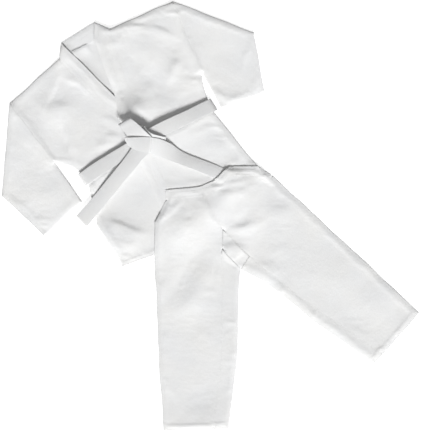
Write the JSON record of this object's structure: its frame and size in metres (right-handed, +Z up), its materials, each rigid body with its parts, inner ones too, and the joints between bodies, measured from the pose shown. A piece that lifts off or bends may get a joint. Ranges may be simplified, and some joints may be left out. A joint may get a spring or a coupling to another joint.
{
  "type": "martial arts uniform",
  "caption": "Child's martial arts uniform laid flat: wrap jacket with wide lapels and folded sleeves, knotted stitched belt, and elastic-waist trousers across its hem.",
  "frame": {"origin": "on the floor, at the centre of the box round everything", "axes": "+Z up from the floor, the thin direction; +Y towards the jacket's shoulders and the trousers' waist; +X towards the left trouser leg. Left and right are the wearer's"},
  "size_m": [1.2148, 1.2494, 0.0375],
  "materials": {
    "jacket_cotton": "matt plain-weave cotton, white",
    "trousers_cotton": "matt plain-weave cotton, white",
    "belt_webbing": "matt, stiff, with close parallel rows of stitching, off-white"
  },
  "bodies": {
    "jacket": {"jacket_back": "jacket_cotton", "jacket_front_right": "jacket_cotton", "lapel_right": "jacket_cotton", "collar_back": "jacket_cotton", "jacket_front_left": "jacket_cotton", "lapel_left": "jacket_cotton", "belt_back": "belt_webbing", "belt_side_right": "belt_webbing", "belt_side_left": "belt_webbing", "belt_band_right": "belt_webbing", "belt_band_left": "belt_webbing", "belt_knot_core": "belt_webbing", "belt_knot_over": "belt_webbing", "belt_knot_under": "belt_webbing", "belt_end_left": "belt_webbing"},
    "right_sleeve": {"right_sleeve": "jacket_cotton"},
    "left_sleeve": {"left_sleeve": "jacket_cotton"},
    "belt_end": {"belt_end_right": "belt_webbing"},
    "trousers": {"waistband_back": "trousers_cotton", "waistband_front": "trousers_cotton", "right_thigh_back": "trousers_cotton", "left_thigh_back": "trousers_cotton", "right_thigh_front": "trousers_cotton", "left_thigh_front": "trousers_cotton", "right_thigh_gusset": "trousers_cotton", "left_thigh_gusset": "trousers_cotton", "crotch_gusset": "trousers_cotton"},
    "right_shin": {"right_shin_back": "trousers_cotton", "right_shin_front": "trousers_cotton", "right_shin_gusset": "trousers_cotton"},
    "left_shin": {"left_shin_back": "trousers_cotton", "left_shin_front": "trousers_cotton", "left_shin_gusset": "trousers_cotton"}
  },
  "joints": [
    {"name": "right_sleeve_fold", "type": "hinge", "parent": "jacket", "child": "right_sleeve", "pos_m": [-0.5177, 0.23992, 0.014], "axis": [-0.6082, 0.7938, 0], "range_deg": [0, 165]},
    {"name": "left_sleeve_fold", "type": "hinge", "parent": "jacket", "child": "left_sleeve", "pos_m": [-0.06762, 0.52088, 0.014], "axis": [0.3688, -0.9295, 0], "range_deg": [0, 165]},
    {"name": "belt_end_lift", "type": "hinge", "parent": "jacket", "child": "belt_end", "pos_m": [-0.20308, 0.17381, 0.022], "axis": [-0.7698, 0.6383, 0], "range_deg": [0, 85]},
    {"name": "trousers_lift", "type": "slide", "parent": "jacket", "child": "trousers", "axis": [0, 0, 1], "range_m": [0, 0.2]},
    {"name": "right_leg_fold", "type": "hinge", "parent": "trousers", "child": "right_shin", "pos_m": [-0.03658, -0.39069, 0.014], "axis": [-1, 0, 0], "range_deg": [0, 165]},
    {"name": "left_leg_fold", "type": "hinge", "parent": "trousers", "child": "left_shin", "pos_m": [0.33242, -0.18069, 0.014], "axis": [-0.6569, -0.7539, 0], "range_deg": [0, 165]}
  ]
}
